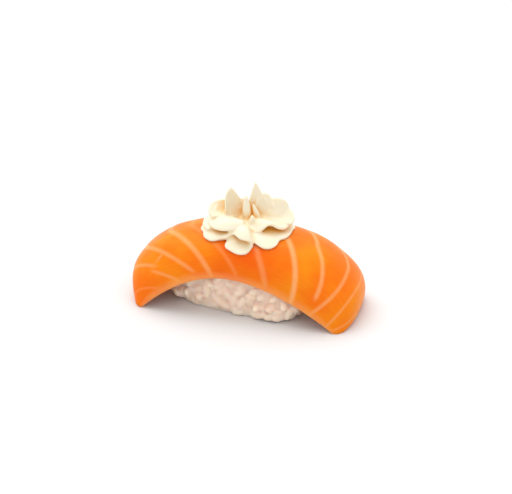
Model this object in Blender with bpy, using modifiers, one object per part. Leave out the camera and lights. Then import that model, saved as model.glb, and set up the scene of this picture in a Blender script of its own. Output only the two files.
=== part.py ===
"""Salmon nigiri with a piped cream rosette, as three solids that rest on one another.

A mound of pressed rice stands on the floor. A slice of salmon lies along it and hangs to the floor at
both ends, so a small cave is left beside each end of the rice. A rosette of stiff cream, piped as
petals in tiers, sits on the crest of the slice.

Metres, +Z up, +X along the slice, -Y towards the side where the rice shows most. The origin is on the
floor, under the middle of the whole. Run with: blender --background --python part.py
"""

import math
import random
from dataclasses import dataclass

import bmesh
import bpy
import numpy as np
from mathutils import Vector

MM = 0.001
GAP = 0.3 * MM  # between pieces that touch

# The slice. Its crest runs along X, and each side falls to an edge of its own.
CREST = Vector((-0.5 * MM, -0.6 * MM, 0.0))
FRONT_REACH = 15.3 * MM
BACK_REACH = 16.5 * MM
SIDE_FULLNESS = 2.35  # 2 is an ellipse across the slice, and more is squarer shoulders
SLICE_THICKNESS = 4.6 * MM
THIN_EDGE = 0.5  # the slice's long edges, as a share of its thickness
FLOOR_OVERRUN = 1.5 * MM  # the sheet runs this far below the floor before its feet are trimmed level
SLICE_CELLS = (40, 16)

# The rice, a loaf with full sides and a level foot, turned a little from the slice above it.
LOAF_HALF = Vector((25.2 * MM, 12.5 * MM, 13.6 * MM))
LOAF_CENTRE = Vector((-1.4 * MM, -0.4 * MM, 9.0 * MM))
PLAN_FULLNESS = 4.0
SIDE_WALL_FULLNESS = 4.0
LOAF_TURN = math.radians(-8.0)
END_UNDERCUT = 0.10  # the share of its length that the loaf loses at the floor
UNDERCUT_HEIGHT = 5.0 * MM
LOAF_SEGMENTS = (46, 32)
GRAIN_LENGTH = 7.0 * MM
GRAIN_WIDTH = 4.4 * MM
GRAIN_RELIEF = 1.3 * MM
GRAIN_COUNT = 190
GRAIN_SEED = 7

# The rosette.
ROSETTE_CENTRE = CREST + Vector((0.8 * MM, -1.0 * MM, 28.0 * MM))
HEART_RADIUS = 5.6 * MM
HEART_HEIGHT = 4.6 * MM
HEART_SIDES, HEART_RINGS = 20, 12
PETAL_SIDES, PETAL_RINGS = 12, 9
PETAL_FOOT = 0.6  # a petal's width at its foot, as a share of its greatest width
TIP_THICKNESS = 0.6  # a petal's thickness at its tip, as a share of that at its foot
LEAN_STEPS = 12
RUFFLE_CELLS = (3, 7, 2)  # a frill's cells between stations, out to the rim and through
RIM_THICKNESS = 0.65  # a frill's thickness at its rim, as a share of that at its root
CREAM_VOXEL = 0.54 * MM
CREAM_SOFTENING = 1
CREAM_SHARE = 0.155  # of the faces that the lobes have when they have run together
MOULD_DEPTH = 8 * MM  # how far the rosette's mould reaches in behind the slice

# The trimming block.
FLOOR_BLOCK_SIZE = (140 * MM, 80 * MM, 10 * MM)


@dataclass(frozen=True)
class Arch:
    """A line along the slice, from its left foot up over the rice and down to its right foot.

    Lengths are in millimetres. More fullness squares its shoulders. It meets the floor upright, with
    each foot drawn back in by its tuck, unless it is a hump, which comes down at a slant.
    """

    peak_x: float
    left: float
    right: float
    height: float
    left_fullness: float
    right_fullness: float
    left_tuck: float = 0.0
    right_tuck: float = 0.0
    hump: bool = False


CREST_ARCH = Arch(0.0, 41.4, 42.3, 28.2, 2.34, 2.4, left_tuck=4.4, right_tuck=3.0)
FRONT_ARCH = Arch(-2.4, 31.6, 38.4, 14.7, 2.0, 1.7, hump=True)
BACK_ARCH = Arch(4.0, 36.0, 32.0, 18.0, 1.5, 1.6)
TUCK_HEIGHT = 14.0 * MM
ARCH_SAMPLES = 1200


@dataclass(frozen=True)
class Petal:
    """One lobe of piped cream, a flattened tongue that bends along its length.

    Azimuth and root place its foot about the rosette's axis, in degrees and millimetres, and height
    lifts it above the slice's crest. It leans, in degrees from upright at its foot and at its tip, the
    way its azimuth and turn face together. Cup lifts its side edges towards its inner face, and drops
    them below 0. Sweep carries its tip sideways, and point 1 draws it to a tip.
    """

    azimuth: float
    root: float
    height: float
    length: float
    width: float
    thickness: float
    lean: tuple
    cup: float
    point: float = 0.0
    turn: float = 0.0
    sweep: float = 0.0


@dataclass(frozen=True)
class Ruffle:
    """A frill of piped cream: a ribbon from near the rosette's axis out to a waving rim.

    Each station of the rim is an azimuth about the axis in degrees, a distance from it, a height above
    the crest, and how far the ribbon bellies up on its way out there, in millimetres. Gather 1 brings
    the ribbon's root to one place, and 0 spreads it as far round as the rim.
    """

    stations: tuple
    root: float
    root_height: float
    thickness: float
    gather: float = 0.0


SKIRT = Ruffle(
    (
        (-60, 8.8, -0.9, 0.6),
        (-56, 10.6, -1.4, 0.8),
        (-48, 12.6, -2.2, 1.0),
        (-40, 13.6, -2.3, 1.0),
        (-31, 14.1, -1.7, 0.8),
        (-20, 13.5, -0.8, 0.5),
        (-12, 14.4, -0.7, 0.5),
        (0, 14.9, -0.6, 0.5),
        (14, 15.4, -0.5, 0.5),
        (24, 16.3, -0.9, 0.6),
        (36, 14.6, -0.8, 0.6),
        (50, 14.8, -1.2, 0.6),
        (64, 13.0, -1.2, 0.6),
        (80, 13.4, -1.6, 0.6),
        (96, 12.2, -1.4, 0.6),
        (112, 13.2, -1.5, 0.6),
        (128, 12.8, -1.2, 0.6),
        (144, 14.4, -1.2, 0.6),
        (158, 14.2, -0.6, 0.5),
        (172, 16.2, -0.9, 0.5),
        (184, 15.4, -0.6, 0.5),
        (194, 15.6, -0.7, 0.5),
        (202, 14.8, -0.8, 0.5),
        (210, 15.0, -1.4, 0.6),
        (218, 14.3, -1.8, 0.7),
        (224, 13.3, -1.9, 0.7),
        (230, 11.6, -1.4, 0.6),
        (236, 9.8, -0.8, 0.5),
    ),
    root=4.0,
    root_height=1.4,
    thickness=1.7,
)
FRONT_ROLL = Ruffle(
    (
        (-176, 14.6, 0.1, 0.2),
        (-163, 13.6, -0.3, 0.3),
        (-150, 12.9, -0.9, 0.4),
        (-140, 12.4, -1.4, 0.5),
        (-130, 11.2, -1.3, 0.6),
        (-120, 9.9, -0.8, 0.8),
        (-112, 9.0, 0.3, 1.0),
    ),
    root=6.5,
    root_height=-0.2,
    thickness=3.0,
)
FRONT_CUP = Ruffle(
    (
        (-126, 10.4, -0.7, 0.4),
        (-119, 9.6, -0.2, 0.8),
        (-112, 8.9, 0.7, 1.2),
        (-102, 8.9, 1.1, 1.6),
        (-93, 9.8, 1.0, 1.8),
        (-86, 10.7, 0.7, 1.9),
        (-78, 10.9, 0.5, 1.9),
        (-71, 10.7, 0.0, 1.8),
        (-66, 10.4, -1.0, 1.2),
        (-65, 10.4, -2.5, 0.4),
        (-69, 11.0, -3.4, 0.0),
        (-76, 11.9, -3.9, -0.3),
        (-85, 12.1, -4.1, -0.4),
        (-95, 11.9, -3.9, -0.3),
        (-104, 11.7, -3.4, -0.1),
        (-112, 11.7, -2.9, 0.0),
        (-117, 10.4, -2.2, 0.0),
        (-119, 9.2, -1.4, 0.0),
    ),
    root=3.6,
    root_height=2.0,
    thickness=1.7,
    gather=0.55,
)
SECOND_TIER = Ruffle(
    (
        (-92, 3.9, 4.0, 0.3),
        (-71, 4.9, 3.0, 0.2),
        (-56, 6.9, 1.6, 0.1),
        (-45, 8.2, 1.6, 0.3),
        (-36, 9.0, 2.9, 0.6),
        (-28, 9.9, 4.1, 0.8),
        (-20, 11.2, 4.0, 0.8),
        (-14, 12.6, 2.9, 0.6),
        (-4, 13.6, 2.0, 0.4),
        (10, 14.6, 2.4, 0.3),
        (26, 15.2, 3.4, 0.3),
        (42, 13.6, 2.2, 0.3),
        (58, 13.6, 3.4, 0.3),
        (74, 12.0, 2.0, 0.3),
        (90, 12.4, 3.2, 0.3),
        (106, 11.6, 2.0, 0.3),
        (124, 12.6, 3.2, 0.3),
        (140, 12.0, 1.8, 0.3),
        (156, 13.4, 2.8, 0.3),
        (172, 13.8, 2.4, 0.3),
        (188, 14.8, 2.0, 0.3),
        (200, 14.4, 1.2, 0.3),
        (210, 13.6, 0.6, 0.3),
    ),
    root=3.2,
    root_height=3.4,
    thickness=1.7,
)
LEFT_LOBE = Ruffle(
    (
        (188, 12.4, 3.0, 1.0),
        (198, 12.9, 2.5, 1.2),
        (208, 12.6, 2.1, 1.4),
        (218, 12.1, 1.9, 1.6),
        (228, 11.2, 1.9, 1.6),
        (238, 10.0, 2.0, 1.5),
        (250, 8.6, 2.3, 1.3),
        (262, 7.2, 2.8, 1.0),
        (276, 6.0, 3.4, 0.6),
    ),
    root=4.6,
    root_height=3.8,
    thickness=2.2,
    gather=0.15,
)
LEFT_SHELL = Ruffle(
    (
        (206, 11.8, 4.6, 0.0),
        (199, 12.8, 6.0, -0.3),
        (192, 12.9, 7.6, -0.6),
        (185, 12.0, 8.7, -0.8),
        (179, 10.3, 9.2, -0.8),
        (172, 8.6, 9.2, -0.6),
        (164, 7.2, 8.6, -0.3),
    ),
    root=5.6,
    root_height=4.6,
    thickness=2.2,
    gather=0.55,
)
RIGHT_CURL = Ruffle(
    (
        (36, 11.4, 8.0, -0.2),
        (28, 12.5, 7.8, -0.4),
        (21, 14.0, 7.2, -0.5),
        (15, 15.3, 6.0, -0.6),
        (9, 16.0, 4.4, -0.5),
        (3, 15.4, 2.8, -0.3),
    ),
    root=7.5,
    root_height=3.4,
    thickness=1.8,
    gather=0.3,
)
CROWN = (
    Petal(190, 4.0, 2.4, 12.8, 9.4, 2.1, (36, -22), 3.8, point=0.62, turn=-50, sweep=0.8),
    Petal(-75, 1.0, 1.4, 11.3, 3.3, 2.9, (0, 0), 0.0, point=0.35, sweep=-0.4),
    Petal(38, 3.9, 3.2, 13.9, 7.4, 2.0, (16, -10), 3.0, point=0.95, turn=72, sweep=0.8),
    Petal(28, 5.4, 3.0, 9.3, 7.6, 2.0, (16, 0), 2.4, point=0.3, turn=75, sweep=-0.8),
    Petal(10, 7.6, 1.4, 10.0, 11.4, 2.2, (30, 4), -2.2, point=0.1, turn=80, sweep=-2.0),
    Petal(178, 6.0, 2.8, 6.2, 9.0, 2.2, (14, 26), 2.0, turn=-56, sweep=2.4),
    Petal(-49, 3.9, 1.4, 5.2, 4.4, 1.9, (6, 0), -0.6, point=0.7),
    Petal(0, 3.8, 2.0, 7.8, 3.0, 1.7, (4, 0), 0.8, point=0.7, turn=-80, sweep=-1.8),
    Petal(84, 4.8, 3.2, 5.4, 10.0, 2.0, (14, 20), 1.8, point=0.4),
    Petal(130, 4.8, 3.2, 5.6, 10.0, 2.0, (16, 26), 1.8, point=0.4),
)
FRILLS = (SKIRT, FRONT_ROLL, FRONT_CUP, SECOND_TIER, LEFT_LOBE, LEFT_SHELL, RIGHT_CURL)


def clear_scene():
    """Removes whatever the scene holds."""
    for obj in list(bpy.data.objects):
        bpy.data.objects.remove(obj, do_unlink=True)


def new_collection(name, hidden=False):
    """A collection in the scene, left out of renders if hidden."""
    collection = bpy.data.collections.new(name)
    collection.hide_render = hidden
    bpy.context.scene.collection.children.link(collection)
    return collection


def new_material(name, colour, roughness, subsurface):
    """A plain finish, its colour in linear red, green and blue."""
    material = bpy.data.materials.new(name)
    material.use_nodes = True
    shader = material.node_tree.nodes["Principled BSDF"]
    shader.inputs["Base Color"].default_value = (*colour, 1.0)
    shader.inputs["Roughness"].default_value = roughness
    shader.inputs["Metallic"].default_value = 0.0
    shader.inputs["Subsurface Weight"].default_value = subsurface
    material.diffuse_color = (*colour, 1.0)
    return material


def add_object(name, mesh, collection):
    """An object that holds the mesh, in the collection."""
    obj = bpy.data.objects.new(name, mesh)
    collection.objects.link(obj)
    return obj


def mark_as_cutter(obj):
    """Hides the object from renders and shows it as a wire."""
    obj.hide_render = True
    obj.display_type = "WIRE"


def cut(obj, cutter):
    """Takes the cutter's shape away from the object."""
    modifier = obj.modifiers.new("cut by " + cutter.name, "BOOLEAN")
    modifier.operation = "DIFFERENCE"
    modifier.solver = "EXACT"
    modifier.object = cutter


def sample_arch(arch):
    """Shares of the arch's length from 0 to 1, with the x and z that each falls at."""
    angle = np.linspace(0.0, math.pi, ARCH_SAMPLES)
    side, rise = -np.cos(angle), np.sin(angle)
    on_left = side < 0
    power = 2.0 / np.where(on_left, arch.left_fullness, arch.right_fullness)
    reach = np.where(on_left, arch.left, arch.right) * MM
    tuck = np.where(on_left, arch.left_tuck, -arch.right_tuck) * MM
    lift = rise**2 if arch.hump else rise**power
    z = arch.height * MM * lift - FLOOR_OVERRUN * (1.0 - lift)
    x = arch.peak_x * MM + np.sign(side) * reach * np.abs(side) ** power
    x += tuck * np.clip(1.0 - z / TUCK_HEIGHT, 0.0, 1.0) ** 2
    run = np.concatenate([[0.0], np.cumsum(np.hypot(np.diff(x), np.diff(z)))])
    return run / run[-1], x, z


def slice_surface():
    """A function that gives the slice's outer face at (along 0 to 1, across -1 front to +1 back)."""
    samples = [sample_arch(arch) for arch in (CREST_ARCH, FRONT_ARCH, BACK_ARCH)]

    def point(along, across):
        (crest_x, crest_z), front, back = [
            (np.interp(along, share, x), np.interp(along, share, z)) for share, x, z in samples
        ]
        edge_x, edge_z = front if across < 0 else back
        angle = abs(across) * math.pi / 2
        fall = 1.0 - max(math.cos(angle), 0.0) ** (2 / SIDE_FULLNESS)
        reach = -FRONT_REACH if across < 0 else BACK_REACH
        y = reach * math.sin(angle) ** (2 / SIDE_FULLNESS)
        x = crest_x + (edge_x - crest_x) * fall
        z = crest_z + (edge_z - crest_z) * fall
        return CREST + Vector((x, y, z))

    return point


def slice_sheet(name, collection):
    """The slice's outer face as an open grid, with a vertex group that fades towards its long edges."""
    columns, rows = SLICE_CELLS
    bpy.ops.mesh.primitive_grid_add(x_subdivisions=columns, y_subdivisions=rows, size=2.0)
    sheet = bpy.context.object
    sheet.name = name
    for old in sheet.users_collection:
        old.objects.unlink(sheet)
    collection.objects.link(sheet)
    point = slice_surface()
    body = sheet.vertex_groups.new(name="body")
    for vertex in sheet.data.vertices:
        along, across = (vertex.co.x + 1) / 2, vertex.co.y
        vertex.co = point(along, across)
        body.add([vertex.index], 1.0 - abs(across) ** 3, "REPLACE")
    return sheet


def thicken(sheet, inward, outward=0.0):
    """Gives the sheet a wall of inward plus outward, thinner at its long edges."""
    wall = sheet.modifiers.new("wall", "SOLIDIFY")
    wall.thickness = inward + outward
    wall.offset = 2 * outward / wall.thickness - 1
    wall.vertex_group = "body"
    wall.thickness_vertex_group = THIN_EDGE


def floor_block(collection):
    """A block whose top face is the floor, to trim the slice's feet level."""
    bpy.ops.mesh.primitive_cube_add(size=1.0, location=(0, 0, -FLOOR_BLOCK_SIZE[2] / 2))
    block = bpy.context.object
    block.name = "floor_block"
    block.scale = FLOOR_BLOCK_SIZE
    for old in block.users_collection:
        old.objects.unlink(block)
    collection.objects.link(block)
    return block


def loaf_point(direction):
    """Where a ray from the loaf's centre leaves its smooth outline, before the turn."""
    along, across, up = [abs(part / half) for part, half in zip(direction, LOAF_HALF)]
    plan = (along**PLAN_FULLNESS + across**PLAN_FULLNESS) ** (SIDE_WALL_FULLNESS / PLAN_FULLNESS)
    point = direction / (plan + up**SIDE_WALL_FULLNESS) ** (1 / SIDE_WALL_FULLNESS)
    near_floor = max(1.0 - (point.z + LOAF_CENTRE.z) / UNDERCUT_HEIGHT, 0.0)
    point.x *= 1.0 - END_UNDERCUT * min(near_floor, 1.0) ** 2
    return point


def grain_lies():
    """The grains' middles on the smooth loaf, each with the direction that the grain lies in."""
    rng = random.Random(GRAIN_SEED)
    golden = math.pi * (3 - math.sqrt(5))
    lies = []
    for index in range(GRAIN_COUNT):
        height = 1 - 2 * (index + 0.5) / GRAIN_COUNT
        ring = math.sqrt(1 - height * height)
        direction = Vector((height, ring * math.cos(index * golden), ring * math.sin(index * golden)))
        along = Vector([rng.uniform(-1, 1) for _ in range(3)])
        along -= along.project(direction)
        lies.append((loaf_point(direction), along.normalized(), rng.uniform(0.4, 1.0)))
    return lies


def grain_rise(place, lies):
    """How far the grains stand out of the loaf at a place, from the nearest of them."""
    rise = 0.0
    for middle, along, share in lies:
        offset = place - middle
        lengthwise = offset.dot(along)
        sideways = (offset - along * lengthwise).length
        reach = (2 * lengthwise / GRAIN_LENGTH) ** 2 + (2 * sideways / GRAIN_WIDTH) ** 2
        if reach < 1:
            rise = max(rise, share * math.sqrt(1 - reach))
    return rise * GRAIN_RELIEF


def make_rice(collection, slice_void):
    """The rice: an uneven loaf with a level foot, hollowed on top to the slice's inner face."""
    mesh = bpy.data.meshes.new("rice")
    shape = bmesh.new()
    around, lengthwise = LOAF_SEGMENTS
    bmesh.ops.create_uvsphere(shape, u_segments=around, v_segments=lengthwise, radius=1.0)
    lies = grain_lies()
    cosine, sine = math.cos(LOAF_TURN), math.sin(LOAF_TURN)
    for vertex in shape.verts:
        direction = Vector((vertex.co.z, vertex.co.x, vertex.co.y))
        smooth = loaf_point(direction)
        place = smooth + direction.normalized() * grain_rise(smooth, lies)
        turned = Vector((cosine * place.x - sine * place.y, sine * place.x + cosine * place.y, place.z))
        vertex.co = LOAF_CENTRE + turned
    everything = shape.verts[:] + shape.edges[:] + shape.faces[:]
    bmesh.ops.bisect_plane(
        shape, geom=everything, plane_co=(0, 0, 0), plane_no=(0, 0, -1), clear_outer=True
    )
    bmesh.ops.holes_fill(shape, edges=[edge for edge in shape.edges if edge.is_boundary])
    bmesh.ops.recalc_face_normals(shape, faces=shape.faces[:])
    shape.to_mesh(mesh)
    shape.free()
    rice = add_object("rice", mesh, collection)
    cut(rice, slice_void)
    mesh.shade_smooth()
    mesh.materials.append(new_material("pressed_rice", (0.83, 0.76, 0.66), 0.45, 0.2))
    return rice


def make_slice(collection, floor):
    """The salmon slice: the draped sheet with its wall inwards and its feet level on the floor."""
    salmon = slice_sheet("salmon_slice", collection)
    thicken(salmon, SLICE_THICKNESS)
    cut(salmon, floor)
    salmon.data.shade_smooth()
    salmon.data.materials.append(new_material("raw_salmon", (0.92, 0.24, 0.04), 0.28, 0.3))
    return salmon


def bend(lean, share):
    """How far out and up the midline has gone at a share of its length, by summing its leaning steps."""
    out = up = 0.0
    for step in range(LEAN_STEPS):
        angle = math.radians(lean[0] + (lean[1] - lean[0]) * share * (step + 0.5) / LEAN_STEPS)
        out += math.sin(angle) * share / LEAN_STEPS
        up += math.cos(angle) * share / LEAN_STEPS
    return out, up


def petal_outline(share, point):
    """The petal's half width at a share of its length, against its greatest: round or drawn to a point."""
    foot = PETAL_FOOT + (1 - PETAL_FOOT) * math.sin(min(2 * share, 1.0) * math.pi / 2)
    round_end = math.sqrt(max(1 - share**3.4, 0.0))
    pointed_end = max(1 - share, 0.0) ** 1.2 * (1 + 1.3 * share)
    return foot * ((1 - point) * round_end + point * pointed_end)


def add_petal(shape, petal):
    """Adds one closed petal to the bmesh, as a ball flattened and bent along its midline."""
    made = bmesh.ops.create_uvsphere(shape, u_segments=PETAL_SIDES, v_segments=PETAL_RINGS, radius=1.0)
    azimuth = math.radians(petal.azimuth)
    facing = math.radians(petal.azimuth + petal.turn)
    outward = Vector((math.cos(facing), math.sin(facing), 0.0))
    sideways = Vector((-math.sin(facing), math.cos(facing), 0.0))
    foot = Vector((petal.root * math.cos(azimuth), petal.root * math.sin(azimuth), petal.height))
    for vertex in made["verts"]:
        share = (vertex.co.z + 1) / 2
        ring = math.hypot(vertex.co.x, vertex.co.y)
        across = vertex.co.x / ring if ring > 1e-6 else 0.0
        through = vertex.co.y / ring if ring > 1e-6 else 0.0
        end = min(2 * ring, 1.0)
        lean = math.radians(petal.lean[0] + (petal.lean[1] - petal.lean[0]) * share)
        inward = Vector((0, 0, 1)) * math.sin(lean) - outward * math.cos(lean)
        out, up = bend(petal.lean, share)
        edge = petal_outline(share, petal.point) * across
        wall = petal.thickness * (1 - (1 - TIP_THICKNESS) * share)
        place = foot + outward * out * petal.length + Vector((0, 0, up * petal.length))
        place += sideways * (petal.width / 2 * edge * end + petal.sweep * share**1.5)
        place += inward * (wall / 2 * through * end + petal.cup * edge**2 * min(2 * share, 1.0))
        vertex.co = ROSETTE_CENTRE + place * MM


def smooth_path(stations, share):
    """The values at a share of the way along hand-set stations, on a smooth curve through them all."""
    place = min(max(share, 0.0), 1.0) * (len(stations) - 1)
    start = min(int(place), len(stations) - 2)
    t = place - start
    last = len(stations) - 1
    picked = (max(start - 1, 0), start, start + 1, min(start + 2, last))
    before, here, there, after = [np.array(stations[index], float) for index in picked]
    rise = 2 * before - 5 * here + 4 * there - after
    turn = 3 * here - before - 3 * there + after
    return here + ((there - before) * t + rise * t**2 + turn * t**3) / 2


def ruffle_middle(ruffle, along, out):
    """The middle of the ribbon at shares of its rim's length and of the way out to the rim."""
    azimuth, reach, height, belly = smooth_path(ruffle.stations, along)
    centre = sum(station[0] for station in ruffle.stations) / len(ruffle.stations)
    root_azimuth = math.radians(centre + (azimuth - centre) * (1 - ruffle.gather))
    azimuth = math.radians(azimuth)
    rim = Vector((reach * math.cos(azimuth), reach * math.sin(azimuth), height))
    root = Vector((math.cos(root_azimuth), math.sin(root_azimuth), 0.0)) * ruffle.root
    root.z = ruffle.root_height
    knee = (root + rim) / 2 + Vector((0, 0, 2 * belly))
    return root * (1 - out) ** 2 + 2 * knee * out * (1 - out) + rim * out**2


def ruffle_block(ruffle):
    """A block from -1 to 1 each way as a bmesh, divided for the frill."""
    block = bmesh.new()
    bmesh.ops.create_cube(block, size=2.0)
    cells = (RUFFLE_CELLS[0] * len(ruffle.stations), *RUFFLE_CELLS[1:])
    for axis, count in enumerate(cells):
        crossing = [e for e in block.edges if abs((e.verts[0].co - e.verts[1].co)[axis]) > 1e-6]
        bmesh.ops.subdivide_edges(block, edges=crossing, cuts=count - 1, use_grid_fill=True)
    return block


def add_ruffle(shape, ruffle):
    """Adds one closed frill to the bmesh, as a block bent along the ribbon's middle."""
    block = ruffle_block(ruffle)
    step = 0.004
    for vertex in block.verts:
        along, out, through = (vertex.co.x + 1) / 2, (vertex.co.y + 1) / 2, vertex.co.z
        clear_along, clear_out = [min(max(share, step), 1 - step) for share in (along, out)]
        outward = ruffle_middle(ruffle, clear_along, clear_out + step)
        outward -= ruffle_middle(ruffle, clear_along, clear_out - step)
        onward = ruffle_middle(ruffle, clear_along + step, clear_out)
        onward -= ruffle_middle(ruffle, clear_along - step, clear_out)
        wall = ruffle.thickness * (1 - (1 - RIM_THICKNESS) * out)
        place = ruffle_middle(ruffle, along, out) + outward.cross(onward).normalized() * (wall / 2 * through)
        vertex.co = ROSETTE_CENTRE + place * MM
    mesh = bpy.data.meshes.new("frill")
    block.to_mesh(mesh)
    block.free()
    shape.from_mesh(mesh)
    bpy.data.meshes.remove(mesh)


def add_heart(shape):
    """Adds the rosette's domed heart to the bmesh."""
    made = bmesh.ops.create_uvsphere(shape, u_segments=HEART_SIDES, v_segments=HEART_RINGS, radius=1.0)
    for vertex in made["verts"]:
        across = Vector((vertex.co.x * HEART_RADIUS, vertex.co.y * HEART_RADIUS, 0.0))
        vertex.co = ROSETTE_CENTRE + across + Vector((0, 0, vertex.co.z * HEART_HEIGHT))


def make_cream(collection, slice_mould):
    """The rosette: its frills, petals and heart run together, then seated on the slice."""
    mesh = bpy.data.meshes.new("cream_rosette")
    shape = bmesh.new()
    for ruffle in FRILLS:
        add_ruffle(shape, ruffle)
    for petal in CROWN:
        add_petal(shape, petal)
    add_heart(shape)
    bmesh.ops.recalc_face_normals(shape, faces=shape.faces[:])
    shape.to_mesh(mesh)
    shape.free()
    cream = add_object("cream_rosette", mesh, collection)
    merge = cream.modifiers.new("run together", "REMESH")
    merge.mode = "VOXEL"
    merge.voxel_size = CREAM_VOXEL
    soften = cream.modifiers.new("soften", "SMOOTH")
    soften.factor = 0.5
    soften.iterations = CREAM_SOFTENING
    thin_out = cream.modifiers.new("thin out", "DECIMATE")
    thin_out.ratio = CREAM_SHARE
    cut(cream, slice_mould)
    mesh.materials.append(new_material("piped_cream", (0.93, 0.86, 0.68), 0.4, 0.3))
    return cream


def main():
    """Builds the cutters, then the three solids."""
    clear_scene()
    parts = new_collection("salmon_nigiri")
    cutters = new_collection("cutters", hidden=True)
    floor = floor_block(cutters)
    slice_void = slice_sheet("slice_void", cutters)
    thicken(slice_void, SLICE_THICKNESS + 2 * GAP)
    slice_mould = slice_sheet("slice_mould", cutters)
    thicken(slice_mould, SLICE_THICKNESS + MOULD_DEPTH, GAP)
    for cutter in (floor, slice_void, slice_mould):
        mark_as_cutter(cutter)
    make_rice(parts, slice_void)
    make_slice(parts, floor)
    make_cream(parts, slice_mould)


main()
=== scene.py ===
"""Salmon nigiri with a piped cream rosette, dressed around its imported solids.

A mound of cooked rice grains, a draped slice of raw salmon and a rosette of stiff cream each stand for
the solid of the same name. Sizes are in millimetres until a mesh takes its place, and places come from
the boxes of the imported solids. Metres, +Z up, -Y towards the side where the rice shows most.
"""

import logging
import math
import random
from dataclasses import dataclass
from enum import Enum
from typing import Any

import bmesh
import bpy
import numpy as np
from mathutils import Euler, Matrix, Vector, noise
from mathutils.bvhtree import BVHTree


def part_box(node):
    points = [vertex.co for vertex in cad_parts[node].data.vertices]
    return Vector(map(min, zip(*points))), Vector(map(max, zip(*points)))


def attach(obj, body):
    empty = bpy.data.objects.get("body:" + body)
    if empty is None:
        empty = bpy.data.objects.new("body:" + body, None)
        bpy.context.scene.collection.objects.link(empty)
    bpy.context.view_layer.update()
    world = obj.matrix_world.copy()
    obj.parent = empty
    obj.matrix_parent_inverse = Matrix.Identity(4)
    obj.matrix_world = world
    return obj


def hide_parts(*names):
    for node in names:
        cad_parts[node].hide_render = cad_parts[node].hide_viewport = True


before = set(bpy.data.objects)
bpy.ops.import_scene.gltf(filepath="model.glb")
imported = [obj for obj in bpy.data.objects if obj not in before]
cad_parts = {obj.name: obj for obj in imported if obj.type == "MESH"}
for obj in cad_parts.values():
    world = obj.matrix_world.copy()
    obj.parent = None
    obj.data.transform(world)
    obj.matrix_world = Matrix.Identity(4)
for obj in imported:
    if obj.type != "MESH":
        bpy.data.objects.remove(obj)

MM = 0.001
BODY = "root"
log = logging.getLogger("nigiri")


class Slot(Enum):
    """The record's material slots, one for each piece."""

    RICE = "rice"
    SALMON = "salmon"
    CREAM = "cream"


class Node(Enum):
    """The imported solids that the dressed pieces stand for."""

    RICE = "rice"
    SALMON = "salmon_slice"
    CREAM = "cream_rosette"


# ---------------------------------------------------------------- shared tools


def linear(colour: str) -> tuple[float, float, float, float]:
    """Turns an sRGB hex colour into a linear one.

    Args:
        colour: The colour as "#rrggbb".

    Returns:
        Red, green and blue in linear light, and an alpha of 1.
    """
    shares = [int(colour[start : start + 2], 16) / 255 for start in (1, 3, 5)]
    red, green, blue = [s / 12.92 if s <= 0.04045 else ((s + 0.055) / 1.055) ** 2.4 for s in shares]
    return red, green, blue, 1.0


def add_node(
    tree: bpy.types.NodeTree,
    kind: str,
    settings: dict[str, Any] | None = None,
    inputs: dict[str | int, Any] | None = None,
) -> bpy.types.Node:
    """Adds a shader node with its settings, values and links.

    Args:
        tree: The material's node tree.
        kind: The node's type, such as "ShaderNodeTexNoise".
        settings: The node's own properties by name.
        inputs: By socket name or number, a value or the output that feeds it.

    Returns:
        The new node.
    """
    node = tree.nodes.new(kind)
    for name, value in (settings or {}).items():
        setattr(node, name, value)
    for socket, value in (inputs or {}).items():
        if isinstance(value, bpy.types.NodeSocket):
            tree.links.new(value, node.inputs[socket])
        else:
            node.inputs[socket].default_value = value
    return node


def blank_material(name: str) -> tuple[bpy.types.Material, bpy.types.Node]:
    """Makes a material that holds only a Principled shader and its output.

    Args:
        name: The material's name.

    Returns:
        The material and its Principled shader.
    """
    material = bpy.data.materials.new(name)
    material.use_nodes = True
    return material, material.node_tree.nodes["Principled BSDF"]


def mix_colour(tree: bpy.types.NodeTree, share: Any, first: Any, second: Any) -> bpy.types.NodeSocket:
    """Blends two colours.

    Args:
        tree: The material's node tree.
        share: How much of the second colour there is, as a number or a socket.
        first: The first colour or its socket.
        second: The second colour or its socket.

    Returns:
        The blend's socket.
    """
    inputs = {0: share, 6: first, 7: second}
    return add_node(tree, "ShaderNodeMix", {"data_type": "RGBA"}, inputs).outputs[2]


def new_piece(name: str, mesh: bpy.types.Mesh) -> bpy.types.Object:
    """Puts a mesh in the scene as an object at the origin.

    Args:
        name: The object's name.
        mesh: Its mesh.

    Returns:
        The new object.
    """
    piece = bpy.data.objects.new(name, mesh)
    bpy.context.scene.collection.objects.link(piece)
    return piece


def mesh_of(shape: bmesh.types.BMesh, name: str) -> bpy.types.Mesh:
    """Turns a finished bmesh into a mesh and frees it.

    Args:
        shape: The finished bmesh.
        name: The mesh's name.

    Returns:
        The new mesh.
    """
    mesh = bpy.data.meshes.new(name)
    shape.to_mesh(mesh)
    shape.free()
    return mesh


def points_of(mesh: bpy.types.Mesh) -> np.ndarray:
    """Reads where a mesh's vertices are.

    Args:
        mesh: The mesh.

    Returns:
        Rows of x, y and z in metres.
    """
    points = np.empty(len(mesh.vertices) * 3, np.float32)
    mesh.vertices.foreach_get("co", points)
    return points.reshape(-1, 3).astype(float)


def move_points(mesh: bpy.types.Mesh, points: np.ndarray) -> None:
    """Moves the mesh's vertices to the given rows of x, y and z."""
    mesh.vertices.foreach_set("co", points.astype(np.float32).ravel())
    mesh.update()


def freeze(piece: bpy.types.Object) -> None:
    """Makes the piece's modified shape its own mesh, and drops the modifiers.

    Args:
        piece: The object with the modifiers.
    """
    graph = bpy.context.evaluated_depsgraph_get()
    made = bpy.data.meshes.new_from_object(piece.evaluated_get(graph))
    plain = piece.data
    piece.modifiers.clear()
    piece.data = made
    bpy.data.meshes.remove(plain)


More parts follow.
